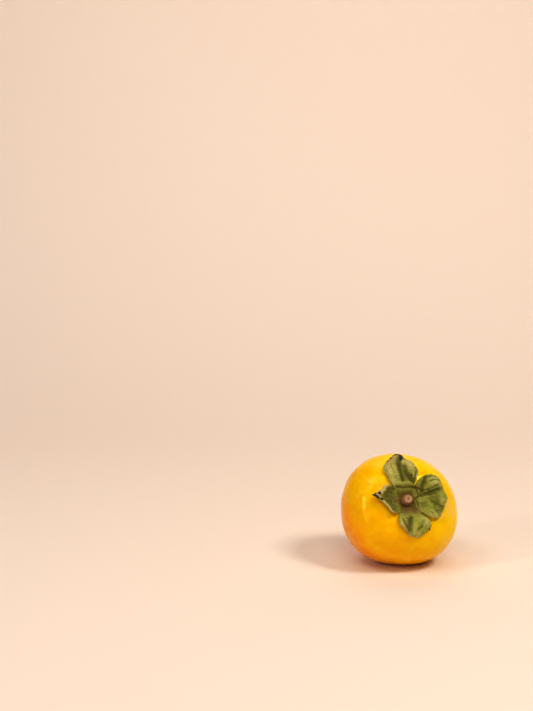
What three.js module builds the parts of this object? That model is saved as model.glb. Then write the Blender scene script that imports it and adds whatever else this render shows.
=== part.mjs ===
// A ripe, squat persimmon as picked, leaning on its side with its calyx to the front and up.
// Units are millimetres and +Z is up. The origin is on the surface that the fruit rests on,
// straight below the fruit's centre. The fruit's own axis runs from the blossom end to the
// calyx. "Tilt" is an angle from that axis, and "bearing" an angle round it.

import * as THREE from 'three';
import { mergeVertices } from 'three/addons/utils/BufferGeometryUtils.js';

// Driving dimensions of the fruit's body
const EQUATOR_RADIUS = 38.9;
const POLAR_RATIO = 0.8;
const SQUARENESS = 2.35;
const SWELLS = [
  { lobes: 2, size: 0.033, bearing: -26 },
  { lobes: 3, size: 0.013, bearing: -28 },
  { lobes: 4, size: 0.016, bearing: 41.5 },
];
const CALYX_DISH_DEPTH = 6;
const CALYX_DISH_SPREAD = 0.36;
const TIP_DIMPLE_DEPTH = 0.8;
const TIP_DIMPLE_SPREAD = 0.16;

// How the fruit lies
const LEAN_YAW = 8;
const LEAN_ELEVATION = 31.2;
const PRESSED_FLAT = 1.2;

// Driving dimensions of the calyx
const CALYX_GAP = 0.4;
const BLADE_THICKNESS = 0.8;
const BOSS_THICKNESS = 0.4;
const BOSS_SPREAD = 9;
const FOLD_RIDGE = 0.5;
const FOLD_RIDGE_SPREAD = 0.12;

// The woody stub of the stem, and the dry point at the blossom end
const STUB_BASE_RADIUS = 3.3;
const STUB_RADIUS = 3.75;
const STUB_CUT_RADIUS = 2.1;
const STUB_FOOT = 27.4;
const STUB_TOP = 31.2;
const STUB_LEAN = 5;
const TIP_RADIUS = 1.1;
const TIP_LENGTH = 1.7;
const TIP_GAP = 0.3;

// Mesh fineness
const BODY_ROWS = 40;
const BODY_COLUMNS = 64;
const ROW_CROWDING = 0.08;
const SEPAL_COLUMNS = 20;
const SEPAL_ROWS = 7;
const DISC_ROWS = 4;

// Where neighbouring sepals part, and each sepal's margin between two clefts, by way of its
// tip, as [tilt, bearing] in degrees. "rise" lifts the whole blade off the skin, "curl" its
// two margins, "tipRise" its tip, and "valley" is the pleat down its middle.
const UPPER_LEFT_CLEFT = [19.5, 138];
const UPPER_RIGHT_CLEFT = [17.5, 57.5];
const LOWER_RIGHT_CLEFT = [21, -48];
const LOWER_LEFT_CLEFT = [20, -125];
const SEPALS = [
  {
    from: UPPER_LEFT_CLEFT,
    rising: [[30, 129.5], [39.4, 124.3], [45.5, 118], [50.7, 109.3], [54.5, 100]],
    tip: [58.5, 90.5],
    falling: [[50, 86.5], [47.7, 78.6], [43.2, 71.8], [38, 64.8], [32, 62], [24, 61]],
    to: UPPER_RIGHT_CLEFT,
    rise: 1.3, curl: [0.1, 0.9], tipRise: 0.3, valley: { across: 0.47, depth: 1, width: 0.08 },
  },
  {
    from: UPPER_RIGHT_CLEFT,
    rising: [[24.6, 56], [30.7, 55], [36.6, 49.8], [43.3, 41.7], [47.6, 33.5], [46.8, 25.5], [45.4, 13.3]],
    tip: [47.1, 1],
    falling: [[44.3, -6.2], [42.5, -14.4], [41, -24.9], [38.6, -34], [34.1, -41.5], [28.5, -45]],
    to: LOWER_RIGHT_CLEFT,
    rise: 1.2, curl: [0.2, 0.5], tipRise: 0.4, valley: { across: 0.5, depth: 0.8, width: 0.08 },
  },
  {
    from: LOWER_RIGHT_CLEFT,
    rising: [[26.8, -49.5], [32.5, -47.5], [37.7, -49.6], [41.5, -57], [42.2, -64.7], [43.6, -71.9]],
    tip: [44.9, -76.2],
    falling: [[43.5, -82.8], [42.1, -90.4], [38.6, -97.3], [34.8, -102.9], [32.1, -111.3], [27.5, -119]],
    to: LOWER_LEFT_CLEFT,
    rise: 0.9, curl: [0.1, 0.5], tipRise: 0.2, valley: { across: 0.42, depth: 0.5, width: 0.09 },
  },
  {
    from: LOWER_LEFT_CLEFT,
    rising: [[23.1, -135.8], [24.9, -145.7], [25.3, -157.9], [27.1, -168.5], [29.7, -177.4], [33.6, -184]],
    tip: [38.1, -189.2],
    falling: [[34.4, -193.8], [31.3, -200.9], [28.9, -210.6], [27.2, -218]],
    to: [UPPER_LEFT_CLEFT[0], UPPER_LEFT_CLEFT[1] - 360],
    rise: 1.2, curl: [2.6, 2.4], tipRise: 0.8, valley: { across: 0.5, depth: 0.4, width: 0.1 },
  },
];

const degrees = THREE.MathUtils.degToRad;

// The skin's distance from the fruit's centre: a squat superellipse with a few broad swells,
// a dish under the calyx and a dimple at the blossom end.
function skinRadius(tilt, bearing) {
  const girth = Math.abs(Math.sin(tilt) / EQUATOR_RADIUS) ** SQUARENESS;
  const depth = Math.abs(Math.cos(tilt) / (EQUATOR_RADIUS * POLAR_RATIO)) ** SQUARENESS;
  const round = (girth + depth) ** (-1 / SQUARENESS);
  let swell = 0;
  for (const { lobes, size, bearing: crest } of SWELLS) {
    swell += size * Math.cos(lobes * (bearing - degrees(crest)));
  }
  const dish = CALYX_DISH_DEPTH * Math.exp(-((tilt / CALYX_DISH_SPREAD) ** 2));
  const dimple = TIP_DIMPLE_DEPTH * Math.exp(-(((Math.PI - tilt) / TIP_DIMPLE_SPREAD) ** 2));
  return round * (1 + Math.sin(tilt) ** 2 * swell) - dish - dimple;
}

// A point at a lift above the skin.
function aboveSkin(tilt, bearing, lift) {
  const distance = skinRadius(tilt, bearing) + lift;
  return new THREE.Vector3(
    distance * Math.sin(tilt) * Math.cos(bearing),
    distance * Math.sin(tilt) * Math.sin(bearing),
    distance * Math.cos(tilt),
  );
}

// Triangles gathered as corner points, with shared corners merged into one closed mesh.
class Shell {
  corners = [];

  triangle(a, b, c) {
    this.corners.push(a, b, c);
  }

  quad(a, b, c, d) {
    this.triangle(a, b, c);
    this.triangle(a, c, d);
  }

  geometry() {
    const loose = new THREE.BufferGeometry().setFromPoints(this.corners);
    const merged = mergeVertices(loose, 1e-4);
    const kept = [];
    const index = merged.index.array;
    for (let i = 0; i < index.length; i += 3) {
      const [a, b, c] = [index[i], index[i + 1], index[i + 2]];
      if (a !== b && b !== c && c !== a) {
        kept.push(a, b, c);
      }
    }
    merged.setIndex(kept);
    merged.computeVertexNormals();
    return merged;
  }
}

// The fruit's body as rows from the calyx end to the blossom end, closer near both.
function bodyGeometry() {
  const shell = new Shell();
  const point = (row, column) => {
    const share = row / BODY_ROWS;
    const tilt = Math.PI * (share - ROW_CROWDING * Math.sin(2 * Math.PI * share));
    const bearing = (2 * Math.PI * (column % BODY_COLUMNS)) / BODY_COLUMNS;
    return aboveSkin(tilt, row === 0 || row === BODY_ROWS ? 0 : bearing, 0);
  };
  for (let row = 0; row < BODY_ROWS; row += 1) {
    for (let column = 0; column < BODY_COLUMNS; column += 1) {
      shell.quad(
        point(row, column),
        point(row + 1, column),
        point(row + 1, column + 1),
        point(row, column + 1),
      );
    }
  }
  return shell.geometry();
}

// The lean turns the fruit's axis from upright to the way it lies.
function leanMatrix(height) {
  const yaw = degrees(LEAN_YAW);
  const elevation = degrees(LEAN_ELEVATION);
  const axis = new THREE.Vector3(
    Math.sin(yaw) * Math.cos(elevation),
    -Math.cos(yaw) * Math.cos(elevation),
    Math.sin(elevation),
  );
  const side = new THREE.Vector3(0, 0, 1).cross(axis).normalize();
  const up = axis.clone().cross(side);
  return new THREE.Matrix4().makeBasis(side, up, axis).setPosition(0, 0, height);
}

// The body leans, sinks by the pressed depth and is flat where it meets the surface.
function restingBody() {
  const geometry = bodyGeometry().applyMatrix4(leanMatrix(0));
  geometry.computeBoundingBox();
  const centreHeight = -geometry.boundingBox.min.z - PRESSED_FLAT;
  const position = geometry.getAttribute('position');
  for (let i = 0; i < position.count; i += 1) {
    position.setZ(i, Math.max(0, position.getZ(i) + centreHeight));
  }
  return { geometry, centreHeight };
}

// The calyx is laid out on a flat plan, where a point's distance is its tilt in degrees.
function onPlan([tilt, bearing]) {
  return new THREE.Vector2(tilt * Math.cos(degrees(bearing)), tilt * Math.sin(degrees(bearing)));
}

function sepalMargin(sepal) {
  const rising = new THREE.SplineCurve([sepal.from, ...sepal.rising, sepal.tip].map(onPlan));
  const falling = new THREE.SplineCurve([sepal.tip, ...sepal.falling, sepal.to].map(onPlan));
  return (across) => (across <= 0.5 ? rising.getPointAt(across * 2) : falling.getPointAt(across * 2 - 1));
}

// How far a blade's underside stands off the skin. "across" runs from 0 to 1 along the
// margin, and "out" from 0 at the fold to 1 at the margin.
function bladeRise(sepal, across, out) {
  const spread = sepal.rise * (1 - (1 - out) ** 2);
  const side = sepal.curl[0] * (1 - across) + sepal.curl[1] * across;
  const atCleft = Math.min(1, 10 * across * (1 - across)) ** 0.5;
  const tip = sepal.tipRise * Math.exp(-(((across - 0.5) / 0.06) ** 2)) * out ** 3;
  const pleat = Math.exp(-(((across - sepal.valley.across) / sepal.valley.width) ** 2));
  const valley = sepal.valley.depth * pleat * Math.sin(Math.PI * out ** 0.8);
  const ridge = FOLD_RIDGE * Math.exp(-((out / FOLD_RIDGE_SPREAD) ** 2));
  return atCleft * Math.max(0, spread + side * out ** 3 + tip - valley) + ridge;
}

function calyxGeometry() {
  const shell = new Shell();
  const pair = (plan, rise) => {
    const tilt = degrees(plan.length());
    const bearing = Math.atan2(plan.y, plan.x);
    const boss = BOSS_THICKNESS * Math.exp(-((plan.length() / BOSS_SPREAD) ** 2));
    const under = CALYX_GAP + rise;
    return {
      under: aboveSkin(tilt, bearing, under),
      top: aboveSkin(tilt, bearing, under + BLADE_THICKNESS + boss),
    };
  };
  // Both faces are split along the same diagonal, so that a waved blade keeps its thickness.
  const patch = (grid) => {
    for (let i = 0; i + 1 < grid.length; i += 1) {
      for (let j = 0; j + 1 < grid[i].length; j += 1) {
        const [a, b, c, d] = [grid[i][j], grid[i][j + 1], grid[i + 1][j + 1], grid[i + 1][j]];
        shell.quad(a.top, d.top, c.top, b.top);
        shell.quad(a.under, b.under, c.under, d.under);
      }
    }
  };
  for (const sepal of SEPALS) {
    const margin = sepalMargin(sepal);
    const [start, end] = [onPlan(sepal.from), onPlan(sepal.to)];
    const disc = [];
    const blade = [];
    for (let i = 0; i <= SEPAL_COLUMNS; i += 1) {
      const across = i / SEPAL_COLUMNS;
      const fold = start.clone().lerp(end, across);
      const edge = margin(across);
      disc.push([]);
      blade.push([]);
      for (let j = 0; j <= DISC_ROWS; j += 1) {
        const share = j / DISC_ROWS;
        const ridge = FOLD_RIDGE * Math.exp(-(((1 - share) / (2 * FOLD_RIDGE_SPREAD)) ** 2));
        disc[i].push(pair(fold.clone().multiplyScalar(share), ridge));
      }
      for (let j = 0; j <= SEPAL_ROWS; j += 1) {
        const out = j / SEPAL_ROWS;
        blade[i].push(pair(fold.clone().lerp(edge, out), bladeRise(sepal, across, out)));
      }
    }
    // At the clefts the fold and the margin meet in one point.
    for (const i of [0, SEPAL_COLUMNS]) {
      blade[i].fill(disc[i][DISC_ROWS]);
    }
    for (let i = 0; i <= SEPAL_COLUMNS; i += 1) {
      blade[i][0] = disc[i][DISC_ROWS];
    }
    patch(disc);
    patch(blade);
    for (let i = 0; i < SEPAL_COLUMNS; i += 1) {
      const [a, b] = [blade[i][SEPAL_ROWS], blade[i + 1][SEPAL_ROWS]];
      shell.quad(a.top, b.top, b.under, a.under);
    }
  }
  return shell.geometry();
}

function stubGeometry() {
  const cutHeight = STUB_TOP - STUB_FOOT;
  const profile = [
    [0, 0],
    [STUB_BASE_RADIUS, 0.4],
    [STUB_RADIUS, 0.25 * cutHeight],
    [0.97 * STUB_RADIUS, 0.45 * cutHeight],
    [0.8 * STUB_RADIUS, 0.75 * cutHeight],
    [STUB_CUT_RADIUS + 0.3, 0.94 * cutHeight],
    [STUB_CUT_RADIUS, cutHeight],
    [0, cutHeight],
  ];
  return new THREE.LatheGeometry(profile.map(([r, z]) => new THREE.Vector2(r, z)), 20);
}

function blossomTipGeometry() {
  const profile = [
    [0, 0],
    [TIP_RADIUS, 0],
    [0.7 * TIP_RADIUS, 0.35 * TIP_LENGTH],
    [0.3 * TIP_RADIUS, TIP_LENGTH],
    [0, TIP_LENGTH],
  ];
  return new THREE.LatheGeometry(profile.map(([r, z]) => new THREE.Vector2(r, z)), 12);
}

// Finishes
const skin = new THREE.MeshStandardMaterial({ color: 0xf6a30a, roughness: 0.36, metalness: 0 });
const leaf = new THREE.MeshStandardMaterial({ color: 0x767a35, roughness: 0.7, metalness: 0 });
const wood = new THREE.MeshStandardMaterial({ color: 0x5b3524, roughness: 0.8, metalness: 0 });
const dryTip = new THREE.MeshStandardMaterial({ color: 0x2a1d14, roughness: 0.85, metalness: 0 });

function named(name, geometry, material) {
  const mesh = new THREE.Mesh(geometry, material);
  mesh.name = name;
  return mesh;
}

const { geometry: fruitGeometry, centreHeight } = restingBody();
const fruit = named('fruit', fruitGeometry, skin);
const calyx = named('calyx', calyxGeometry(), leaf);

// A lathe turns about +Y, so the stub and the tip are stood along the fruit's axis.
const stem = named('stem', stubGeometry(), wood);
stem.rotation.x = Math.PI / 2;
const stemSeat = new THREE.Group();
stemSeat.position.z = STUB_FOOT;
stemSeat.rotation.y = degrees(STUB_LEAN);
stemSeat.add(stem);

const blossomTip = named('blossom_tip', blossomTipGeometry(), dryTip);
blossomTip.rotation.x = -Math.PI / 2;
blossomTip.position.z = -(skinRadius(Math.PI, 0) + TIP_GAP);

const leaning = new THREE.Group();
leaning.applyMatrix4(leanMatrix(centreHeight));
leaning.add(calyx, stemSeat, blossomTip);

const persimmon = new THREE.Group();
persimmon.add(fruit, leaning);

export default persimmon;
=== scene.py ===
import math

import bpy
from mathutils import Matrix, Vector, noise


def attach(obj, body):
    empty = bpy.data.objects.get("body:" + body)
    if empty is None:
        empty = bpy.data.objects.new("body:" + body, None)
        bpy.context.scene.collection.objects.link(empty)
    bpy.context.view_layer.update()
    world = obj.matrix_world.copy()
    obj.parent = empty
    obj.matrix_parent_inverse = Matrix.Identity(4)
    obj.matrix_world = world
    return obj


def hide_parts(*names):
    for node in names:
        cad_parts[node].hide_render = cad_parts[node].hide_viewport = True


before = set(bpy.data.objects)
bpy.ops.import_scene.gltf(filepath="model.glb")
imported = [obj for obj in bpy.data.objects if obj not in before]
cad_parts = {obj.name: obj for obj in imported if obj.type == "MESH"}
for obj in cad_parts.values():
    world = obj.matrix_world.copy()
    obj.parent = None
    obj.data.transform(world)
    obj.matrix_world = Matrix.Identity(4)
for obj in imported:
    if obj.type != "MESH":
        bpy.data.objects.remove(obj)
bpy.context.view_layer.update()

# The fruit's body is flesh and skin grown as one: squat, with a few broad swells, a dish under
# the calyx and a dimple at the blossom end. It leans with the calyx to the front, and its waxy
# skin is pressed flat where it lies. Shapes are in millimetres until a mesh is made.
MM = 0.001
EQUATOR_RADIUS = 38.9
POLAR_RATIO = 0.8
SQUARENESS = 2.35
# Each swell: its number of lobes, their height as a share of the radius, and the bearing of a
# crest in degrees.
SWELLS = [(2, 0.033, -26), (3, 0.013, -28), (4, 0.016, 41.5)]
CALYX_DISH_DEPTH = 6
CALYX_DISH_SPREAD = 0.36
TIP_DIMPLE_DEPTH = 0.8
TIP_DIMPLE_SPREAD = 0.16
LEAN_YAW = 8
LEAN_ELEVATION = 31.2
PRESSED_FLAT = 1.2
PRESSED_EDGE = 0.25
BODY_ROWS = 200
BODY_COLUMNS = 340
DENT_HEIGHT = 0.2
DENT_WIDTH = 9
RIPPLE_HEIGHT = 0.07
RIPPLE_WIDTH = 3.2


def bell(distance, spread):
    return math.exp(-((distance / spread) ** 2))


def skin_radius(tilt, bearing):
    girth = abs(math.sin(tilt) / EQUATOR_RADIUS) ** SQUARENESS
    depth = abs(math.cos(tilt) / (EQUATOR_RADIUS * POLAR_RATIO)) ** SQUARENESS
    squat_body = (girth + depth) ** (-1 / SQUARENESS)
    swell = sum(size * math.cos(lobes * (bearing - math.radians(crest))) for lobes, size, crest in SWELLS)
    dish = CALYX_DISH_DEPTH * bell(tilt, CALYX_DISH_SPREAD)
    dimple = TIP_DIMPLE_DEPTH * bell(math.pi - tilt, TIP_DIMPLE_SPREAD)
    return squat_body * (1 + math.sin(tilt) ** 2 * swell) - dish - dimple


def above_skin(tilt, bearing, lift):
    distance = skin_radius(tilt, bearing) + lift
    from_axis = distance * math.sin(tilt)
    return Vector((from_axis * math.cos(bearing), from_axis * math.sin(bearing), distance * math.cos(tilt)))


def skin_spot(place):
    tilt, bearing = place
    return above_skin(math.radians(tilt), math.radians(bearing), 0)


def lean():
    yaw, elevation = math.radians(LEAN_YAW), math.radians(LEAN_ELEVATION)
    level = math.cos(elevation)
    axis = Vector((math.sin(yaw) * level, -math.cos(yaw) * level, math.sin(elevation)))
    side = Vector((0, 0, 1)).cross(axis).normalized()
    return Matrix((side, axis.cross(side), axis)).transposed()


def make_piece(name, points, faces, notes, replaced, material):
    mesh = bpy.data.meshes.new(name)
    mesh.from_pydata([point * MM for point in points], [], faces)
    mesh.shade_smooth()
    for note, values in notes.items():
        if isinstance(values[0], Vector):
            attribute = mesh.attributes.new(note, "FLOAT_VECTOR", "POINT")
            attribute.data.foreach_set("vector", [part for value in values for part in value])
        else:
            attribute = mesh.attributes.new(note, "FLOAT", "POINT")
            attribute.data.foreach_set("value", values)
    mesh.materials.append(material)
    piece = bpy.data.objects.new(name, mesh)
    bpy.context.scene.collection.objects.link(piece)
    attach(piece, "root")
    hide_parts(replaced)


def new_material(name):
    material = bpy.data.materials.new(name)
    material.use_nodes = True
    tree = material.node_tree
    shader = tree.nodes["Principled BSDF"]
    return material, tree, shader


def set_finish(shader, finish):
    for socket, value in finish.items():
        shader.inputs[socket].default_value = value


def feed(tree, socket, value):
    if isinstance(value, bpy.types.NodeSocket):
        tree.links.new(value, socket)
    else:
        socket.default_value = value


def note_socket(tree, name, output="Fac"):
    node = tree.nodes.new("ShaderNodeAttribute")
    node.attribute_name = name
    return node.outputs[output]


def noise_socket(tree, where, scale, detail, roughness, distortion=0):
    node = tree.nodes.new("ShaderNodeTexNoise")
    feed(tree, node.inputs["Vector"], where)
    feed(tree, node.inputs["Scale"], scale)
    feed(tree, node.inputs["Detail"], detail)
    feed(tree, node.inputs["Roughness"], roughness)
    feed(tree, node.inputs["Distortion"], distortion)
    return node.outputs["Fac"]


def spots_socket(tree, where, scale, feature="F1"):
    node = tree.nodes.new("ShaderNodeTexVoronoi")
    node.feature = feature
    feed(tree, node.inputs["Vector"], where)
    feed(tree, node.inputs["Scale"], scale)
    return node.outputs


def span(tree, value, low, high, to_low=0.0, to_high=1.0):
    node = tree.nodes.new("ShaderNodeMapRange")
    node.interpolation_type = "SMOOTHSTEP"
    feed(tree, node.inputs["Value"], value)
    feed(tree, node.inputs["From Min"], low)
    feed(tree, node.inputs["From Max"], high)
    feed(tree, node.inputs["To Min"], to_low)
    feed(tree, node.inputs["To Max"], to_high)
    return node.outputs["Result"]


def combine(tree, operation, first, second):
    node = tree.nodes.new("ShaderNodeMath")
    node.operation = operation
    feed(tree, node.inputs[0], first)
    feed(tree, node.inputs[1], second)
    return node.outputs["Value"]


def blend_colour(tree, share, first, second):
    node = tree.nodes.new("ShaderNodeMix")
    node.data_type = "RGBA"
    feed(tree, node.inputs["Factor"], share)
    feed(tree, node.inputs["A"], (*first, 1) if isinstance(first, tuple) else first)
    feed(tree, node.inputs["B"], (*second, 1) if isinstance(second, tuple) else second)
    return node.outputs["Result"]


def bump_socket(tree, height, depth, strength, normal=None):
    node = tree.nodes.new("ShaderNodeBump")
    feed(tree, node.inputs["Height"], height)
    feed(tree, node.inputs["Distance"], depth * MM)
    feed(tree, node.inputs["Strength"], strength)
    if normal is not None:
        feed(tree, node.inputs["Normal"], normal)
    return node.outputs["Normal"]


SKIN_DEEP = (0.94, 0.35, 0.001)
SKIN_ORANGE = (0.98, 0.53, 0.0015)
SKIN_GOLD = (0.99, 0.64, 0.003)
SKIN_HAZE = (1.0, 0.68, 0.012)
SKIN_BLOOM_AND_SHEEN = (0.96, 0.66, 0.22)
SKIN_SPECK = (0.4, 0.16, 0.03)
SPECK_STRENGTH = 0.6
# The skin turns golder toward this direction, the key light's side, and deeper orange away from it: partly
# the fruit's own ripening, partly painted light and painted shade.
RIPE_AND_LIT_SIDE = Vector((0.75, -0.3, 0.6))
# How fine each pattern of the skin is, in repeats per metre, and how deep its relief is in
# millimetres.
RIPENESS_SCALE = 38
MOTTLE_SCALE = 150
FILM_SCALE = 170
SPECK_SCALE = 120
PORE_SCALE = 1100
GRAIN_SCALE = 900
PEEL_SCALE = 280
PORE_DEPTH = 0.04
GRAIN_DEPTH = 0.03
PEEL_DEPTH = 0.26
SKIN_FINISH = {
    "Subsurface Weight": 0.15,
    "Subsurface Radius": (1.0, 0.35, 0.08),
    "Subsurface Scale": 2 * MM,
    "Metallic": 0.05,
    "Specular IOR Level": 0.13,
    "Specular Tint": (1.0, 0.95, 0.85, 1),
}
# Each bloom patch, partly the skin's waxy bloom and partly a painted sheen, a painted reflection
# of the pale floor and lamps on the rims and shoulders: where it is, as (tilt, bearing) in degrees,
# its radius in millimetres and how white it is.
BLOOM_AND_SHEEN_PATCHES = [
    ((47.8, -7.6), 3.2, 0.8), ((55.6, -14.3), 4.2, 0.75), ((43.3, -27), 3.0, 0.6),
    ((53.5, 1), 2.6, 0.5), ((64.5, 58), 4.5, 0.35), ((58.9, 47.4), 3.8, 0.5),
    ((54.3, 35), 3.2, 0.35), ((85.4, -149.6), 6.0, 0.55), ((68.6, -47.8), 5.5, 0.4),
    ((54, 121), 3.0, 0.4), ((70, 170), 5.0, 0.15), ((110, 60), 9.0, 0.3),
    ((120, -120), 10.0, 0.25), ((57.5, 170), 1.6, 0.35), ((50, 146), 2.0, 0.3),
    ((62, -172), 1.8, 0.3),
]
# Each dark mark: where it is, and its radius in millimetres.
SKIN_MARKS = [
    ((47.2, 153), 0.75), ((80, -75), 0.5), ((105, 100), 0.8), ((125, -20), 0.7), ((96, 200), 0.5),
    ((180, 0), 2.2),
]


def skin_material():
    material, tree, shader = new_material("persimmon_skin")
    grown = note_socket(tree, "grown", "Vector")
    broad = noise_socket(tree, grown, RIPENESS_SCALE, 3, 0.5)
    mottled = noise_socket(tree, grown, MOTTLE_SCALE, 4, 0.6)
    # Deeper orange on the side turned from the key light, golder toward it: partly ripening, partly painted
    # shade and painted light.
    ripeness_and_light = combine(tree, "ADD", note_socket(tree, "ripe_and_lit"), combine(tree, "MULTIPLY", broad, 0.7))
    colour = blend_colour(tree, span(tree, ripeness_and_light, -0.42, 0.08), SKIN_DEEP, SKIN_ORANGE)
    colour = blend_colour(tree, span(tree, ripeness_and_light, 0.15, 1.3), colour, SKIN_GOLD)
    colour = blend_colour(tree, span(tree, mottled, 0.42, 0.72, 0, 0.32), colour, SKIN_DEEP)
    pores = spots_socket(tree, grown, PORE_SCALE)["Distance"]
    colour = blend_colour(tree, span(tree, pores, 0.1, 0.32, 0.2, 0), colour, SKIN_HAZE)
    film = noise_socket(tree, grown, FILM_SCALE, 5, 0.6)
    # Pale patches of waxy bloom and of painted sheen, a painted reflection on the rims and shoulders.
    bloom_and_sheen = combine(tree, "MULTIPLY", note_socket(tree, "bloom_and_sheen"), span(tree, film, 0.35, 0.6, 0.25, 1))
    colour = blend_colour(tree, bloom_and_sheen, colour, SKIN_BLOOM_AND_SHEEN)
    colour = blend_colour(tree, span(tree, film, 0.48, 0.7, 0, 0.38), colour, SKIN_HAZE)
    specks = spots_socket(tree, grown, SPECK_SCALE)
    chosen = span(tree, specks["Color"], 0.74, 0.76)
    speck = combine(tree, "MULTIPLY", span(tree, specks["Distance"], 0.035, 0.07, 1, 0), chosen)
    for share in (speck, note_socket(tree, "mark")):
        colour = blend_colour(tree, combine(tree, "MULTIPLY", share, SPECK_STRENGTH), colour, SKIN_SPECK)
    feed(tree, shader.inputs["Base Color"], colour)
    feed(tree, shader.inputs["Roughness"], span(tree, film, 0.35, 0.7, 0.15, 0.27))
    set_finish(shader, SKIN_FINISH)
    grain_bump = bump_socket(tree, noise_socket(tree, grown, GRAIN_SCALE, 3, 0.6), GRAIN_DEPTH, 0.6)
    pore_bump = bump_socket(tree, pores, PORE_DEPTH, 0.5, grain_bump)
    peel_bump = bump_socket(tree, noise_socket(tree, grown, PEEL_SCALE, 3, 0.5), PEEL_DEPTH, 1.0, pore_bump)
    feed(tree, shader.inputs["Normal"], peel_bump)
    return material


def fruit_shape():
    points = []
    notes = {note: [] for note in ("grown", "ripe_and_lit", "bloom_and_sheen", "mark")}
    bloom_and_sheen_spots = [(skin_spot(place), radius, white) for place, radius, white in BLOOM_AND_SHEEN_PATCHES]
    marks = [(skin_spot(place), radius) for place, radius in SKIN_MARKS]
    for row in range(BODY_ROWS + 1):
        tilt = math.pi * row / BODY_ROWS
        for column in range(1 if row in (0, BODY_ROWS) else BODY_COLUMNS):
            bearing = 2 * math.pi * column / BODY_COLUMNS
            place = above_skin(tilt, bearing, 0)
            bloom_and_sheen = sum(white * bell((place - spot).length, radius) for spot, radius, white in bloom_and_sheen_spots)
            mark = max(bell((place - spot).length, radius) for spot, radius in marks)
            dents = DENT_HEIGHT * noise.noise(place / DENT_WIDTH)
            ripples = RIPPLE_HEIGHT * noise.noise(place / RIPPLE_WIDTH)
            place = place + place.normalized() * (dents + ripples)
            notes["grown"].append(place * MM)
            notes["ripe_and_lit"].append((LEAN @ place.normalized()).dot(RIPE_AND_LIT_SIDE))
            notes["bloom_and_sheen"].append(min(1, bloom_and_sheen))
            notes["mark"].append(mark)
            points.append(LEAN @ place)
    drop = -min(point.z for point in points) - PRESSED_FLAT
    for point in points:
        height = point.z + drop
        point.z = (height + math.hypot(height, PRESSED_EDGE)) / 2
    return points, notes, drop


def fruit_faces():
    def at(row, column):
        if row == 0:
            return 0
        if row == BODY_ROWS:
            return 1 + (BODY_ROWS - 1) * BODY_COLUMNS
        return 1 + (row - 1) * BODY_COLUMNS + column % BODY_COLUMNS

    faces = []
    for row in range(BODY_ROWS):
        for column in range(BODY_COLUMNS):
            corners = [at(row, column), at(row + 1, column), at(row + 1, column + 1), at(row, column + 1)]
            faces.append(list(dict.fromkeys(corners)))
    return faces


LEAN = lean()
body_points, body_notes, centre_height = fruit_shape()
CENTRE = Vector((0, 0, centre_height))
make_piece("fruit_skin", body_points, fruit_faces(), body_notes, "fruit", skin_material())

# The calyx is one leathery leaf of four sepals round a squarish disc, half dried. The sepals
# lie on the skin with their margins a little up, the left one cupped with rolled margins, and
# each ends in a dry dark tip. Places on it are (tilt, bearing) in degrees.
CALYX_GAP = 0.15
BLADE_THICKNESS = 0.62
MARGIN_THICKNESS = 0.22
MARGIN_FAR = 9
BOSS_THICKNESS = 0.6
BOSS_SPREAD = 9
FOLD_RIDGE = 0.12
FOLD_RIDGE_SPREAD = 0.12
SEPAL_COLUMNS = 132
SEPAL_ROWS = 44
DISC_ROWS = 22
MARGIN_STEPS = 160
WELD_DIGITS = 4
CLEFT_STEEPNESS = 10
TIP_SPREAD = 0.06
CUP_START = 0.4
CUP_FULL = 0.82
ROLL_START = 0.84
ROLL_DOWN = 0.2
LIP_START = 0.68
LIP_FULL = 0.8
LIP_TEAR = 0.09
LIP_TEETH = (22, 3)
TORN_START = 0.06
TORN_WIDTH = 2.2
CRUMPLE_HEIGHT = 0.42
CRUMPLE_WIDTH = 4.5
CRUMPLE_STARTS = (3, 15)
PUCKER_HEIGHT = 0.22
PUCKER_WIDTH = 1.6
WRINKLE_HEIGHT = 0.11
WRINKLE_TURNS = 150
WRINKLE_SWAY = 4
WRINKLES_START = (0.1, 0.5)
WRINKLES_END = (1, 0.9)
SWAY_WAVES = (9, 2)
# Each kind of unevenness is cut from the same noise at a height of its own.
CRUMPLE_LEVEL = 0
PATCH_LEVEL = 3
PUCKER_LEVEL = 7
TORN_LEVEL = 11
UPPER_LEFT_CLEFT = (19.5, 138)
UPPER_RIGHT_CLEFT = (17.5, 57.5)
LOWER_RIGHT_CLEFT = (21, -48)
LOWER_LEFT_CLEFT = (20, -125)
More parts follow.
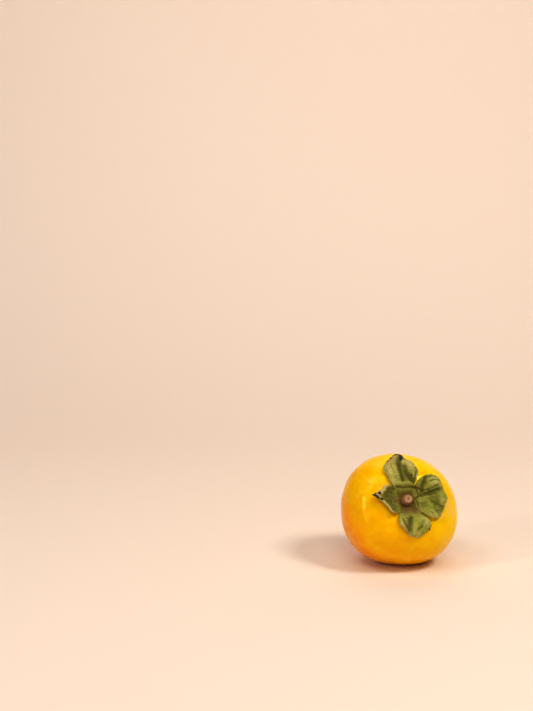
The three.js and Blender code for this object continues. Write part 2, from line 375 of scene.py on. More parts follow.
# Each sepal: its margin from cleft to tip and back, then how high it rises, how far its two
# sides curl up, how much its tip lifts, how ragged and wrinkled each side is, and if it has a lip.
SEPALS = [
    dict(start=UPPER_LEFT_CLEFT, tip=(58.6, 91.5), end=UPPER_RIGHT_CLEFT,
         rising=[(30, 129.5), (39.4, 124.3), (45.5, 118), (50.7, 109.3), (54.5, 101.5), (57.8, 96.5)],
         falling=[(55, 88.3), (50.5, 85.5), (47.7, 78.6), (43.2, 71.8), (38, 64.8), (32, 62), (24, 61)],
         rise=2.4, curl=(-1.4, -0.6), tip_rise=0.5, ragged=(0.5, 0.4), wrinkles=(0.5, 0.8), lip=0),
    dict(start=UPPER_RIGHT_CLEFT, tip=(47.1, 1), end=LOWER_RIGHT_CLEFT,
         rising=[(24.6, 56), (30.7, 55), (36.6, 49.8), (43.3, 41.7), (47.6, 33.5), (46.8, 25.5),
                 (45.4, 13.3)],
         falling=[(44.3, -6.2), (42.5, -14.4), (41, -24.9), (38.6, -34), (34.1, -41.5), (28.5, -45)],
         rise=2.4, curl=(-1.2, -0.9), tip_rise=0.5, ragged=(0.3, 0.3), wrinkles=(2.2, 0.7), lip=0),
    dict(start=LOWER_RIGHT_CLEFT, tip=(44.9, -76.2), end=LOWER_LEFT_CLEFT,
         rising=[(26.8, -49.5), (32.5, -47.5), (37.7, -49.6), (41.5, -57), (42.2, -64.7), (43.6, -71.9)],
         falling=[(43.5, -82.8), (42.1, -90.4), (38.6, -97.3), (34.8, -102.9), (32.1, -111.3),
                  (27.5, -119)],
         rise=2.0, curl=(-1.3, -0.7), tip_rise=0.2, ragged=(0.3, 1.1), wrinkles=(0.8, 0.8), lip=0),
    dict(start=LOWER_LEFT_CLEFT, tip=(38.1, -189.2), end=(19.5, -222),
         rising=[(23.1, -135.8), (24.9, -145.7), (25.3, -157.9), (27.1, -168.5), (29.7, -177.4),
                 (33.6, -184)],
         falling=[(34.4, -193.8), (31.3, -200.9), (28.9, -210.6), (27.2, -218)],
         rise=0.5, curl=(4.0, 3.8), tip_rise=0.6, ragged=(0.9, 0.9), wrinkles=(0.5, 0.5), lip=1),
]
# Each crease: where it runs, how deep it is in millimetres (below nought, a ridge), how wide
# in degrees, and how much painted shade darkens the leaf along it.
CREASES = [
    ([(50, 93), (45.7, 96), (37.7, 98), (31.3, 98), (25, 98)], 1.5, 2.3, 0.9),
    ([(37.3, 89), (31, 87.6), (27.4, 79.4), (24.2, 70)], 1.2, 2.6, 0.85),
    ([(42.7, 71.2), (36.1, 67.6), (28.9, 66.7), (22.3, 64.6)], 0.7, 0.8, 0.7),
    ([(21.5, 118), (20.6, 96.5), (20.8, 72)], -0.8, 1.5, 0),
    ([(20.8, 127), (17.9, 112), (16.9, 98.6), (17.3, 78), (19, 56)], 0.6, 1.1, 0.9),
    ([(19, 16), (25.6, 13), (32.8, 14.8), (39.7, 15.6)], 1.3, 2.3, 0.85),
    ([(22, 28), (28, 22), (34, 22), (40, 23)], 0.5, 1.2, 0.55),
    ([(36, 48), (30.6, 45), (24.6, 38), (21, 26)], 0.9, 2.3, 0.75),
    ([(47, 29), (46.3, 38), (41, 46)], 0.4, 1.3, 0.6),
    ([(33, 51), (37, 47), (42, 42)], -0.4, 0.8, 0),
    ([(31, 41), (37, 36.5), (45, 32)], -0.4, 0.8, 0),
    ([(32, 31), (39, 28), (45, 24.5)], -0.4, 0.8, 0),
    ([(33, 36), (39, 32), (45.5, 28)], 0.4, 0.7, 0.5),
    ([(34, 45), (39.5, 41), (44, 36.5)], 0.35, 0.7, 0.5),
    ([(36, 24), (41, 20), (45, 17)], 0.35, 0.7, 0.4),
    ([(30, -22), (35, -27), (39, -30)], 0.35, 0.8, 0.4),
    ([(29, -33), (33, -36), (36, -38)], 0.3, 0.7, 0.35),
    ([(33, 112), (39, 111), (44, 108)], 0.3, 0.8, 0.35),
    ([(31, 121), (37, 119), (42, 116)], -0.35, 0.9, 0),
    ([(34, 76), (40, 79), (45, 82)], -0.35, 0.9, 0),
    ([(30, -75), (35, -79), (40, -82)], -0.3, 0.9, 0),
    ([(29, -58), (34, -60), (38, -63)], 0.35, 0.8, 0.15),
    ([(24, -168), (27, -179), (30, -186)], 0.3, 0.8, 0.4),
    ([(27, -8), (33.7, -12.5), (39.8, -13.7)], 0.5, 1.0, 0.6),
    ([(35, -25), (38.2, -19.7), (41, -16)], 0.3, 0.9, 0.4),
    ([(23.5, -86), (29.7, -89), (35, -92)], 1.0, 2.6, 0.7),
    ([(30, -62), (34, -68), (36, -76)], 0.4, 1.5, 0.4),
    ([(25, -117), (28.5, -109), (33.5, -101), (37.5, -94)], -0.6, 1.6, 0),
    ([(25.5, -108), (29.5, -101), (33, -95)], 0.5, 1.0, 0.6),
    ([(6, 4), (10, 6), (13.8, 12.2), (18.9, 16.1)], 0.4, 0.8, 1),
    ([(19, 56), (17, 35), (15.8, 18.6)], 0.4, 0.8, 0.85),
    ([(24, 26), (21.5, 34), (19.5, 46), (18.5, 54)], 0.4, 0.7, 1),
    ([(12.5, -5), (15, -22), (16, -32)], 0.4, 0.9, 0.8),
    ([(10.7, -16.5), (13.5, -36), (16.9, -48.7), (21.2, -46.8)], -0.4, 0.9, 0),
    ([(20.1, -114.8), (22.4, -93.7), (21.8, -66)], -0.55, 0.8, 0),
]
# Each bulge: its middle, its height in millimetres and its radius in degrees.
BULGES = [
    ((37, 114), 1.2, 8), ((39, 79), 1.0, 6), ((38, 34), 1.1, 8), ((31, -28), 1.0, 8),
    ((33, -58), 1.0, 7), ((36, -84), 0.5, 6),
]
# The patches of each kind: where each one is, and its radius in degrees. The pale patches lie
# on the swells, partly paler leaf and partly painted light.
PATCHES = {
    "dark": [
        ((37.5, 171), 5.2), ((32.5, 176), 2.4), ((31, 167), 2.0), ((28.5, 179), 1.5),
        ((58.3, 95.5), 3.2), ((57.5, 90.5), 3.6), ((54, 89.5), 3.0), ((50.5, 90), 2.6),
        ((47.3, 91.7), 1.9), ((51.3, 104), 1.4), ((49, 110), 1.2), ((53.5, 102.5), 1.5),
        ((56, 99), 1.3), ((48, 87), 1.2), ((47.3, 1), 1.2), ((42.8, -12.7), 1.1),
        ((40.9, -57.3), 1.3), ((27.8, 22), 0.9), ((25.4, -2.4), 0.7), ((22.3, 29), 1.3),
        ((20.8, 37), 0.9), ((19.6, 45), 0.7), ((29, 75.5), 0.9), ((45.5, 75), 0.9),
        ((38, -97), 0.9), ((15, 12), 1.1),
    ],
    "dry": [
        ((31, -110), 2.0), ((33, -105), 2.3), ((35.5, -101), 2.1), ((38, -96.5), 2.0),
        ((40.5, -92.5), 2.2), ((42, -87), 1.8), ((43, -80), 1.8), ((40, -75), 2.0),
        ((12.5, 169.5), 0.7), ((50.5, 105), 2.0), ((46.5, 109), 1.8), ((53, 98), 2.2),
        ((41.4, 69.6), 1.1), ((38.5, 67), 0.8), ((46, 84), 1.6), ((48.5, 81), 1.2),
        ((22.4, -95), 0.6), ((22.5, -91), 0.6), ((22.4, -87), 0.5), ((34.5, 163), 1.8),
        ((30, 172), 1.6),
    ],
    "glow": [
        ((24, 68), 3), ((23, 100), 3), ((26.5, 35), 4), ((27, -16), 5), ((25.5, -70), 4),
        ((30, 88), 3), ((36, 4), 5), ((32, -74), 6), ((38, -66), 4), ((33, -12), 6),
    ],
    "pale_and_lit": [
        ((37, 117), 7.5), ((41.5, 80), 6), ((41, 30), 6.5), ((35, -33), 6), ((32, -57), 6),
        ((38, -82), 5), ((28, -109), 4), ((38, -5), 5), ((31, 60), 3), ((26, 126), 4),
        ((29, -82), 4), ((46, 92), 4), ((33, -52), 4),
    ],
    # The shade patches are painted shade in the hollows and inside the cupped left sepal, partly darker
    # leaf.
    "shade": [
        ((26.5, 84), 4.5), ((28, 40), 4), ((29, 15), 4), ((22.5, 176), 8), ((24, 155), 5),
        ((24, -160), 5), ((26.5, -90), 4), ((20, -20), 4), ((42, 97), 3.5), ((21, -145), 5),
        ((33, -14), 7), ((31, 4), 6),
    ],
    "brown": [
        ((0, 0), 8.5), ((14, -100), 6), ((17, -60), 5), ((15, 180), 4), ((20, 44), 3),
        ((54, 98), 3.5), ((49.5, 108), 2.5),
    ],
    "straw": [((38, 116), 9), ((42, 78), 9), ((50, 98), 6)],
}
HARD_PATCHES = ("dark", "dry")
HARD_PATCH_EDGE = (1.7, 0.2)
PATCH_TEAR = 0.4
PATCH_TEAR_WIDTH = 1.6


def on_plan(place):
    tilt, bearing = place
    return Vector((tilt * math.cos(math.radians(bearing)), tilt * math.sin(math.radians(bearing))))


def at_level(plan, level):
    return Vector((plan.x, plan.y, level))


def blade_noise(waves, number, across, out):
    return noise.noise(Vector((across * waves[0], out * waves[1], number)))


def rugged(place):
    return noise.fractal(place, 0.8, 2, 3)


def smooth_path(places):
    knots = [on_plan(place) for place in places]
    knots = [knots[0], *knots, knots[-1]]
    path = []
    for step in range(MARGIN_STEPS + 1):
        along = (len(places) - 1) * step / MARGIN_STEPS
        first = min(int(along), len(places) - 2)
        t = along - first
        a, b, c, d = knots[first:first + 4]
        enter, leave = (c - a) / 2, (d - b) / 2
        cubic = 2 * b - 2 * c + enter + leave
        square = 3 * c - 3 * b - 2 * enter - leave
        path.append(cubic * t ** 3 + square * t ** 2 + enter * t + b)
    lengths = [0]
    for before, after in zip(path, path[1:]):
        lengths.append(lengths[-1] + (after - before).length)
    return path, lengths


def along_path(path, lengths, share):
    wanted = share * lengths[-1]
    i = next((k for k in range(1, len(lengths)) if lengths[k] >= wanted), len(lengths) - 1)
    return path[i - 1].lerp(path[i], (wanted - lengths[i - 1]) / max(lengths[i] - lengths[i - 1], 1e-9))


def line_distance(point, knots):
    nearest = math.inf
    for a, b in zip(knots, knots[1:]):
        run = b - a
        share = min(1, max(0, (point - a).dot(run) / run.length_squared))
        nearest = min(nearest, (point - a - run * share).length)
    return nearest


def smoothstep(low, high, value):
    share = min(1, max(0, (value - low) / (high - low)))
    return share * share * (3 - 2 * share)


def between(sides, across):
    return sides[0] * (1 - across) + sides[1] * across


CREASE_LINES = [([on_plan(place) for place in places], *rest) for places, *rest in CREASES]
BULGE_SPOTS = [(on_plan(place), height, radius) for place, height, radius in BULGES]
PATCH_SPOTS = {
    kind: [(on_plan(place), radius) for place, radius in patches] for kind, patches in PATCHES.items()
}


def creased(plan):
    sink, painted_shade_along_creases = 0, 0
    for knots, depth, width, darkness in CREASE_LINES:
        near = bell(line_distance(plan, knots), width)
        sink += depth * near
        painted_shade_along_creases = max(painted_shade_along_creases, darkness * near)
    return sink, painted_shade_along_creases


def bulged(plan):
    return sum(height * bell((plan - spot).length, radius) for spot, height, radius in BULGE_SPOTS)


def patched(plan, kind):
    total = 0
    ragged = 1 + PATCH_TEAR * noise.noise(at_level(plan, PATCH_LEVEL) / PATCH_TEAR_WIDTH)
    for spot, radius in PATCH_SPOTS[kind]:
        near = (plan - spot).length / radius
        if kind in HARD_PATCHES:
            total = max(total, smoothstep(*HARD_PATCH_EDGE, near / ragged))
        else:
            total += math.exp(-near * near)
    return min(1, total)


def blade_rise(sepal, across, out):
    spread = sepal["rise"] * (1 - (1 - out) ** 2)
    at_cleft = math.sqrt(min(1, CLEFT_STEEPNESS * across * (1 - across)))
    tip = sepal["tip_rise"] * bell(across - 0.5, TIP_SPREAD) * out ** 3
    rolled = smoothstep(CUP_START, CUP_FULL, out) - ROLL_DOWN * smoothstep(ROLL_START, 1, out)
    bend = rolled if sepal["lip"] else out ** 3
    return at_cleft * max(0, spread + between(sepal["curl"], across) * bend + tip)


def torn_margin(sepal, rising, falling, fold, across):
    edge = along_path(*rising, across * 2) if across <= 0.5 else along_path(*falling, across * 2 - 1)
    ragged = between(sepal["ragged"], across)
    torn = rugged(at_level(edge, TORN_LEVEL) / TORN_WIDTH)
    at_cleft = smoothstep(0, TORN_START, min(across, 1 - across))
    return edge + (edge - fold).normalized() * ragged * torn * at_cleft


def wrinkled(sepal, number, across, out):
    sway = WRINKLE_SWAY * blade_noise(SWAY_WAVES, number, across, out)
    height = between(sepal["wrinkles"], across) * WRINKLE_HEIGHT * math.sin(across * WRINKLE_TURNS + sway)
    height *= smoothstep(*WRINKLES_START, out) * smoothstep(*WRINKLES_END, out)
    return height


def calyx_shape():
    points, faces = [], []
    notes = {note: [] for note in ("plan", "blade", "crease_shade", "relief", "lip", *PATCHES)}
    known = {}

    def vertex(plan, rise, thickness, blade, lip=0, wrinkle=0):
        sink, painted_shade_along_creases = creased(plan)
        tilt, bearing = math.radians(plan.length), math.atan2(plan.y, plan.x)
        flat = at_level(plan, CRUMPLE_LEVEL)
        crumple = CRUMPLE_HEIGHT * noise.noise(flat / CRUMPLE_WIDTH)
        crumple *= smoothstep(*CRUMPLE_STARTS, plan.length)
        pucker = PUCKER_HEIGHT * noise.noise(at_level(plan, PUCKER_LEVEL) / PUCKER_WIDTH)
        relief = crumple + pucker + wrinkle - sink
        under = CALYX_GAP + max(0, rise + bulged(plan) + relief)
        pair = []
        for lift in (under, under + thickness):
            place = above_skin(tilt, bearing, lift)
            key = tuple(round(part, WELD_DIGITS) for part in place)
            if key not in known:
                known[key] = len(points)
                points.append(LEAN @ place + CENTRE)
                notes["plan"].append(flat / PATTERN_DEGREES)
                notes["blade"].append(blade)
                notes["crease_shade"].append(painted_shade_along_creases)
                notes["relief"].append(relief)
                notes["lip"].append(lip)
                for kind in PATCHES:
                    notes[kind].append(patched(plan, kind))
            pair.append(known[key])
        return pair

    def disc_column(fold, across, reach):
        column = []
        for j in range(DISC_ROWS + 1):
            share = j / DISC_ROWS
            ridge = FOLD_RIDGE * bell(1 - share, 2 * FOLD_RIDGE_SPREAD)
            boss = BOSS_THICKNESS * bell(fold.length * share, BOSS_SPREAD)
            place = Vector((across, share - 1, reach + MARGIN_FAR))
            column.append(vertex(fold * share, ridge, BLADE_THICKNESS + boss, place))
        return column

    def blade_column(sepal, number, fold, edge, across, reach):
        column = []
        for j in range(SEPAL_ROWS + 1):
            out = j / SEPAL_ROWS
            plan = fold.lerp(edge, out)
            rise = blade_rise(sepal, across, out) + FOLD_RIDGE * bell(out, FOLD_RIDGE_SPREAD)
            torn_lip = LIP_TEAR * blade_noise(LIP_TEETH, number, across, out)
            lip = sepal["lip"] * smoothstep(LIP_START, LIP_FULL, out + torn_lip)
            boss = BOSS_THICKNESS * bell(plan.length, BOSS_SPREAD)
            thickness = BLADE_THICKNESS + boss - (BLADE_THICKNESS - MARGIN_THICKNESS) * out ** 5
            place = Vector((across, out, reach * (1 - out)))
            column.append(vertex(plan, rise, thickness, place, lip, wrinkled(sepal, number, across, out)))
        return column

    def cover(grid):
        for before, after in zip(grid, grid[1:]):
            for j in range(len(before) - 1):
                a, b, c, d = before[j], before[j + 1], after[j + 1], after[j]
                faces.append([a[1], d[1], c[1], b[1]])
                faces.append([a[0], b[0], c[0], d[0]])

    for number, sepal in enumerate(SEPALS):
        rising = smooth_path([sepal["start"], *sepal["rising"], sepal["tip"]])
        falling = smooth_path([sepal["tip"], *sepal["falling"], sepal["end"]])
        start, end = on_plan(sepal["start"]), on_plan(sepal["end"])
        disc, blade = [], []
        for i in range(SEPAL_COLUMNS + 1):
            across = i / SEPAL_COLUMNS
            fold = start.lerp(end, across)
            edge = torn_margin(sepal, rising, falling, fold, across)
            reach = (edge - fold).length * EQUATOR_RADIUS * math.radians(1)
            disc.append(disc_column(fold, across, reach))
            blade.append(blade_column(sepal, number, fold, edge, across, reach))
            blade[-1][0] = disc[-1][-1]
        for i in (0, SEPAL_COLUMNS):
            blade[i] = [disc[i][-1]] * (SEPAL_ROWS + 1)
        cover(disc)
        cover(blade)
        for before, after in zip(blade, blade[1:]):
            a, b = before[-1], after[-1]
            faces.append([a[1], b[1], b[0], a[0]])
    distinct = [list(dict.fromkeys(face)) for face in faces]
    return points, [face for face in distinct if len(face) > 2], notes


LEAF_OLIVE = (0.35, 0.343, 0.07)
LEAF_SHADE = (0.085, 0.08, 0.01)
LEAF_PALE = (0.61, 0.565, 0.2)
LEAF_GLOW = (0.36, 0.4, 0.045)
LEAF_STRAW = (0.56, 0.41, 0.16)
LEAF_DISC = (0.16, 0.125, 0.02)
LEAF_BROWN = (0.2, 0.1, 0.045)
LEAF_DRY = (0.65, 0.44, 0.175)
LEAF_LIP_PALE_AND_LIT = (0.65, 0.57, 0.25)
LEAF_DARK = (0.04, 0.03, 0.035)
LEAF_FINISH = {"Specular IOR Level": 0.25, "Specular Tint": (1.0, 0.9, 0.6, 1)}
# How fine each pattern of the leaf is, in repeats per ten degrees, and how deep its relief is
# in millimetres. Veins and net are counted across a sepal and out along it.
PATTERN_DEGREES = 10
CLOUD_SCALE = 2.2
LEAF_GRAIN_SCALE = 16
LEAF_MOTTLE_SCALE = 6
DARK_TEAR_SCALE = 9
FLAKE_SCALE = 16
VEIN_LINES = (46, 3)
NET_LINES = (42, 9)
NET_SCALE = 0.8
NET_DEPTH = 0.16
VEIN_DEPTH = 0.25
LEAF_GRAIN_DEPTH = 0.2


def calyx_material():
    material, tree, shader = new_material("calyx_leaf")
    plan = note_socket(tree, "plan", "Vector")
    parts = tree.nodes.new("ShaderNodeSeparateXYZ")
    feed(tree, parts.inputs["Vector"], note_socket(tree, "blade", "Vector"))
    across, out, margin = parts.outputs
    cloudy = noise_socket(tree, plan, CLOUD_SCALE, 4, 0.6)
    grainy = noise_socket(tree, plan, LEAF_GRAIN_SCALE, 4, 0.65)
    relief = note_socket(tree, "relief")

    def laid(note, colour, tint, share=1.0):
        grain = span(tree, grainy, 0.25, 0.65, share * 0.55, share)
        return blend_colour(tree, combine(tree, "MULTIPLY", note_socket(tree, note), grain), colour, tint)

    def blade_lines(lines):
        grid = tree.nodes.new("ShaderNodeCombineXYZ")
        feed(tree, grid.inputs["X"], combine(tree, "MULTIPLY", across, lines[0]))
        feed(tree, grid.inputs["Y"], combine(tree, "MULTIPLY", out, lines[1]))
        return grid.outputs["Vector"]

    def flecked(note, scale, detail, strength):
        flecks = combine(tree, "SUBTRACT", noise_socket(tree, plan, scale, detail, 0.7), 0.5)
        return combine(tree, "ADD", note_socket(tree, note), combine(tree, "MULTIPLY", flecks, strength))

    colour = blend_colour(tree, span(tree, cloudy, 0.3, 0.7, 0.22, 0), LEAF_OLIVE, LEAF_SHADE)
    # Pale patches on the swells: partly paler leaf, partly painted light.
    colour = laid("pale_and_lit", colour, LEAF_PALE, 0.85)
    colour = laid("straw", colour, LEAF_STRAW, 0.55)
    colour = laid("glow", colour, LEAF_GLOW, 0.8)
    # Shade patches: painted shade in the hollows and inside the cupped left sepal, partly darker leaf.
    colour = laid("shade", colour, LEAF_SHADE, 0.85)
    mottle = noise_socket(tree, plan, LEAF_MOTTLE_SCALE, 6, 0.72)
    colour = blend_colour(tree, span(tree, mottle, 0.5, 0.68, 0, 0.4), colour, LEAF_PALE)
    colour = blend_colour(tree, span(tree, mottle, 0.5, 0.34, 0, 0.4), colour, LEAF_SHADE)
    net = spots_socket(tree, blade_lines(NET_LINES), NET_SCALE, "DISTANCE_TO_EDGE")["Distance"]
    colour = blend_colour(tree, span(tree, net, 0, 0.09, 0.13, 0), colour, LEAF_PALE)
    veins = noise_socket(tree, blade_lines(VEIN_LINES), 1, 3, 0.6, 0.3)
    colour = blend_colour(tree, span(tree, veins, 0.52, 0.72, 0, 0.16), colour, LEAF_PALE)
    colour = blend_colour(tree, span(tree, veins, 0.48, 0.3, 0, 0.2), colour, LEAF_SHADE)
    # Painted light on the raised crests and painted shade in the sunken valleys of the leaf's relief.
    colour = blend_colour(tree, span(tree, relief, 0.05, 0.5, 0, 0.3), colour, LEAF_PALE)
    colour = blend_colour(tree, span(tree, relief, -0.05, -0.6, 0, 0.4), colour, LEAF_SHADE)
    colour = blend_colour(tree, span(tree, margin, 0, 0.8, 0.35, 0), colour, LEAF_PALE)
    on_disc = combine(tree, "MULTIPLY", span(tree, out, 0.1, -0.3), span(tree, grainy, 0.3, 0.7, 0.95, 0.7))
    colour = blend_colour(tree, on_disc, colour, LEAF_DISC)
    colour = laid("brown", colour, LEAF_BROWN, 0.9)
    dry_edge = combine(tree, "MULTIPLY", span(tree, margin, 0.25, 0.9, 1, 0), span(tree, cloudy, 0.45, 0.6))
    colour = blend_colour(tree, combine(tree, "MULTIPLY", dry_edge, 0.6), colour, LEAF_DRY)
    # Painted shade darkens the leaf along the creases.
    colour = laid("crease_shade", colour, LEAF_SHADE)
    # The left sepal's upturned lip is painted cream: partly its paler margin, partly painted light on the
    # face turned to the lamps.
    colour = laid("lip", colour, LEAF_LIP_PALE_AND_LIT, 0.95)
    dried = span(tree, flecked("dry", FLAKE_SCALE, 4, 2.4), 0.3, 1.0, 0, 0.8)
    colour = blend_colour(tree, dried, colour, LEAF_DRY)
    black = span(tree, flecked("dark", DARK_TEAR_SCALE, 5, 1.4), 0.42, 0.68, 0, 0.95)
    colour = blend_colour(tree, black, colour, LEAF_DARK)
    feed(tree, shader.inputs["Base Color"], colour)
    feed(tree, shader.inputs["Roughness"], span(tree, grainy, 0.3, 0.7, 0.5, 0.68))
    set_finish(shader, LEAF_FINISH)
    net_bump = bump_socket(tree, span(tree, net, 0, 0.14, 1, 0), NET_DEPTH, 0.7)
    vein_bump = bump_socket(tree, veins, VEIN_DEPTH, 0.7, net_bump)
    feed(tree, shader.inputs["Normal"], bump_socket(tree, grainy, LEAF_GRAIN_DEPTH, 0.6, vein_bump))
    return material


calyx_points, calyx_faces, calyx_notes = calyx_shape()
make_piece("calyx_leaf", calyx_points, calyx_faces, calyx_notes, "calyx", calyx_material())

# The stub is what is left of the woody stem, cut off short when the fruit was picked. Brown
# bark swells round its foot, and its cut face is tan wood with a dark pith.
STUB_FOOT = 26.4
STUB_CUT_RADIUS = 2.6
STUB_LEAN = 5
STUB_COLUMNS = 96
STUB_OVAL = 0.05
STUB_OVAL_TURN = 0.6
# Each ring of the stub from foot to pith: its radius and its height.
STUB_PROFILE = [
    (4.2, 0), (3.95, 0.5), (3.7, 1.1), (3.55, 1.6), (3.5, 2.1), (3.45, 2.6), (3.35, 3.05), (3.2, 3.5),
    (3.05, 3.9), (2.95, 4.2), (2.85, 4.45), (2.78, 4.62), (2.7, 4.74), (2.6, 4.8), (2.4, 4.76),
    (2.05, 4.68), (1.6, 4.6), (1.15, 4.56), (0.75, 4.5), (0.45, 4.3), (0.2, 4.15),
]
LAST_BARK_RING = 12
FIRST_CUT_RING = 14
BARK_HEIGHT = 0.4
BARK_RIPPLES = 2.2
BARK_STRETCH = 0.9
BARK_LIFT = 0.4
BARK_SCALE = 1400
BARK_DEPTH = 0.3
WOOD_GRAIN_SCALE = 2600
WOOD_BARK = (0.5, 0.25, 0.125)
WOOD_BARK_DARK = (0.16, 0.078, 0.05)
WOOD_CUT = (0.58, 0.35, 0.19)
WOOD_PITH = (0.3, 0.16, 0.09)


def ring_sides(rings, columns):
    for row in range(rings - 1):
        for column in range(columns):
            yield row * columns + column, row * columns + (column + 1) % columns


def stub_shape():
    tipped = Matrix.Rotation(math.radians(STUB_LEAN), 3, "Y")
    foot = Vector((0, 0, STUB_FOOT))
    points, cuts, heights = [], [], []
    for number, (radius, height) in enumerate(STUB_PROFILE):
        on_cut = smoothstep(LAST_BARK_RING, FIRST_CUT_RING, number)
        for column in range(STUB_COLUMNS):
            turn = 2 * math.pi * column / STUB_COLUMNS
            ring = Vector((math.cos(turn), math.sin(turn), 0))
            rough = BARK_HEIGHT * rugged(ring * BARK_RIPPLES + Vector((0, 0, height * BARK_STRETCH)))
            oval = 1 + STUB_OVAL * math.cos(2 * turn - STUB_OVAL_TURN)
            upward = Vector((0, 0, height + rough * BARK_LIFT))
            place = ring * radius * oval + ring * rough * (1 - on_cut) + upward
            points.append(LEAN @ (foot + tipped @ place) + CENTRE)
            cuts.append(on_cut)
            heights.append(radius / STUB_CUT_RADIUS if on_cut else 1 + height)
    rings, n = len(STUB_PROFILE), STUB_COLUMNS
    faces = [[a, b, b + n, a + n] for a, b in ring_sides(rings, n)]
    faces.append(list(range((rings - 1) * n, rings * n)))
    faces.append(list(reversed(range(n))))
    return points, faces, {"cut": cuts, "height": heights}


def stub_material():
    material, tree, shader = new_material("stem_wood")
    where = tree.nodes.new("ShaderNodeTexCoord").outputs["Object"]
    rough = noise_socket(tree, where, BARK_SCALE, 5, 0.7)
    bark = blend_colour(tree, span(tree, rough, 0.25, 0.7), WOOD_BARK_DARK, WOOD_BARK)
    height = note_socket(tree, "height")
    bark = blend_colour(tree, span(tree, height, 3.6, 1.4, 0, 0.7), bark, WOOD_BARK_DARK)
    grain = noise_socket(tree, where, WOOD_GRAIN_SCALE, 3, 0.6)
    wood = blend_colour(tree, span(tree, grain, 0.35, 0.7), WOOD_CUT, WOOD_PITH)
    wood = blend_colour(tree, span(tree, height, 0.35, 0.2), wood, WOOD_PITH)
    feed(tree, shader.inputs["Base Color"], blend_colour(tree, note_socket(tree, "cut"), bark, wood))
    feed(tree, shader.inputs["Roughness"], span(tree, rough, 0.3, 0.7, 0.6, 0.8))
    feed(tree, shader.inputs["Normal"], bump_socket(tree, rough, BARK_DEPTH, 0.8))
    return material


stub_points, stub_faces, stub_notes = stub_shape()
make_piece("stem_stub", stub_points, stub_faces, stub_notes, "stem", stub_material())

# The blossom point is the dry rest of the flower's style, a tiny black spike that stands in
# the dimple at the far end of the fruit.
POINT_RADIUS = 1.1
POINT_END_RADIUS = 0.12
POINT_TAPER = 1.6
POINT_LENGTH = 1.9
POINT_SUNK = 0.4
POINT_BEND = 0.35
POINT_RIDGES = 4
POINT_RIDGE_HEIGHT = 0.22
POINT_UNEVENNESS = 0.2
POINT_UNEVEN_SCALE = 1.7
POINT_UNEVEN_STRETCH = 3
POINT_RINGS = 12
POINT_COLUMNS = 32
POINT_GRAIN_SCALE = 3000
POINT_GRAIN_DEPTH = 0.2
POINT_BLACK = (0.06, 0.04, 0.025)
POINT_BROWN = (0.22, 0.13, 0.07)


def point_shape():
    top = -(skin_radius(math.pi, 0) - POINT_SUNK)
    points = []
    for row in range(POINT_RINGS + 1):
        share = row / POINT_RINGS
        height = top - share * (POINT_LENGTH + POINT_SUNK)
        bend = POINT_BEND * share * share
        for column in range(POINT_COLUMNS):
            turn = 2 * math.pi * column / POINT_COLUMNS
            ring = Vector((math.cos(turn), math.sin(turn), share * POINT_UNEVEN_STRETCH))
            radius = POINT_RADIUS * (1 - share) ** POINT_TAPER + POINT_END_RADIUS
            radius *= 1 + POINT_RIDGE_HEIGHT * math.cos(POINT_RIDGES * turn) * (1 - share)
            radius *= 1 + POINT_UNEVENNESS * noise.noise(ring * POINT_UNEVEN_SCALE)
            place = Vector((radius * math.cos(turn) + bend, radius * math.sin(turn), height))
            points.append(LEAN @ place + CENTRE)
    n = POINT_COLUMNS
    faces = [[a, a + n, b + n, b] for a, b in ring_sides(POINT_RINGS + 1, n)]
    faces.append(list(range(n)))
    faces.append(list(reversed(range(POINT_RINGS * n, (POINT_RINGS + 1) * n))))
    return points, faces


def point_material():
    material, tree, shader = new_material("blossom_point")
    where = tree.nodes.new("ShaderNodeTexCoord").outputs["Object"]
    rough = noise_socket(tree, where, POINT_GRAIN_SCALE, 4, 0.65)
    colour = blend_colour(tree, span(tree, rough, 0.45, 0.75), POINT_BLACK, POINT_BROWN)
    feed(tree, shader.inputs["Base Color"], colour)
    set_finish(shader, {"Roughness": 0.8})
    feed(tree, shader.inputs["Normal"], bump_socket(tree, rough, POINT_GRAIN_DEPTH, 0.7))
    return material


point_points, point_faces = point_shape()
make_piece("blossom_point", point_points, point_faces, {}, "blossom_tip", point_material())

# The setting is a plain pale floor that sweeps up far behind the fruit, in soft studio light
# from above and to the right, with a camera at the photograph's place. Past the floor the
# camera sees a pale surround, which gives almost no light.
FLOOR_HALF_WIDTH = 1.05
FLOOR_FRONT = -1.15
SWEEP_START = 0.3
SWEEP_RADIUS = 0.55
SWEEP_STEPS = 24
WALL_TOP = 1.6
FLOOR_COLOUR = (0.865, 0.73, 0.635)
BACK_COLOUR = (0.985, 0.835, 0.73)
AIR_GLOW = (0.008, 0.007, 0.006)
SURROUND_COLOUR = (0.572, 0.468, 0.383)
LIGHT_TARGET = Vector((0, 0, 0.03))
# Each light: its name, its place, its width and height, its power and its colour.
STUDIO_LIGHTS = [
    ("front_top_box", (0, -0.7, 1.3), (0.8, 0.8), 4.0, (1, 1, 0.84)),
    ("upper_right_box", (0.68, -0.36, 1.0), (0.32, 0.32), 5.8, (1, 0.96, 0.9)),
    ("upper_left_box", (-0.6, -0.3, 1.1), (0.42, 0.42), 2.1, (1, 1, 1)),
    ("front_low_box", (0.1, -1.5, 0.8), (0.8, 0.8), 2.0, (1, 0.8, 0.62)),
    ("back_top_box", (0, 0.6, 1.1), (1, 0.6), 1.6, (1, 0.9, 0.95)),
    ("left_tall_pane", (-1.1, -0.6, 0.62), (0.03, 0.5), 2.2, (1, 0.95, 0.95)),
    ("left_low_pane", (-1.08, -0.85, 0.22), (0.05, 0.08), 0.7, (1, 0.95, 0.95)),
]
CAMERA_PLACE = (-0.08983, -0.97729, 0.35112)
CAMERA_PITCH = 12
CAMERA_FOCAL_PX = 1500
PHOTO_HEIGHT_PX = 711
SENSOR_MM = 36


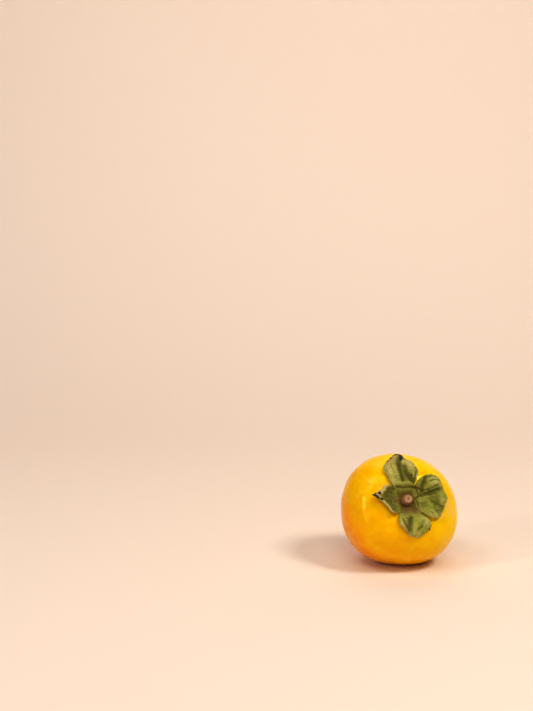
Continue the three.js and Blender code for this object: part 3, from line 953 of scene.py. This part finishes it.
def backdrop():
    outline = [(FLOOR_FRONT, 0), (0, 0), (SWEEP_START, 0)]
    for step in range(1, SWEEP_STEPS + 1):
        turn = math.pi / 2 * step / SWEEP_STEPS
        back, up = SWEEP_RADIUS * math.sin(turn), SWEEP_RADIUS * (1 - math.cos(turn))
        outline.append((SWEEP_START + back, up))
    outline.append((SWEEP_START + SWEEP_RADIUS, WALL_TOP))
    points = [(side * FLOOR_HALF_WIDTH, y, z) for y, z in outline for side in (-1, 1)]
    faces = [[2 * i, 2 * i + 1, 2 * i + 3, 2 * i + 2] for i in range(len(outline) - 1)]
    mesh = bpy.data.meshes.new("studio_sweep")
    mesh.from_pydata(points, [], faces)
    mesh.shade_smooth()
    material, tree, shader = new_material("studio_paper")
    parts = tree.nodes.new("ShaderNodeSeparateXYZ")
    feed(tree, parts.inputs["Vector"], tree.nodes.new("ShaderNodeTexCoord").outputs["Object"])
    far = span(tree, parts.outputs["Y"], SWEEP_START, SWEEP_START + SWEEP_RADIUS)
    feed(tree, shader.inputs["Base Color"], blend_colour(tree, far, FLOOR_COLOUR, BACK_COLOUR))
    set_finish(shader, {"Roughness": 0.85})
    mesh.materials.append(material)
    sweep = bpy.data.objects.new("studio_sweep", mesh)
    bpy.context.scene.collection.objects.link(sweep)


def soft_light(name, place, size, power, colour):
    data = bpy.data.lights.new(name, "AREA")
    data.shape = "RECTANGLE"
    data.size, data.size_y = size
    data.energy = power
    data.color = colour
    light = bpy.data.objects.new(name, data)
    light.location = place
    light.rotation_euler = (LIGHT_TARGET - Vector(place)).to_track_quat("-Z", "Y").to_euler()
    bpy.context.scene.collection.objects.link(light)


backdrop()
for studio_light in STUDIO_LIGHTS:
    soft_light(*studio_light)

world = bpy.data.worlds.new("studio_air")
world.use_nodes = True
air = world.node_tree
seen = air.nodes.new("ShaderNodeLightPath").outputs["Is Camera Ray"]
feed(air, air.nodes["Background"].inputs["Color"], blend_colour(air, seen, AIR_GLOW, SURROUND_COLOUR))
bpy.context.scene.world = world
bpy.context.scene.view_settings.view_transform = "Standard"
bpy.context.scene.view_settings.look = "High Contrast"

camera_data = bpy.data.cameras.new("camera")
camera_data.sensor_width = SENSOR_MM
camera_data.lens = CAMERA_FOCAL_PX / PHOTO_HEIGHT_PX * SENSOR_MM
camera = bpy.data.objects.new("camera", camera_data)
camera.location = CAMERA_PLACE
camera.rotation_euler = (math.radians(90 - CAMERA_PITCH), 0, 0)
bpy.context.scene.collection.objects.link(camera)
bpy.context.scene.camera = camera
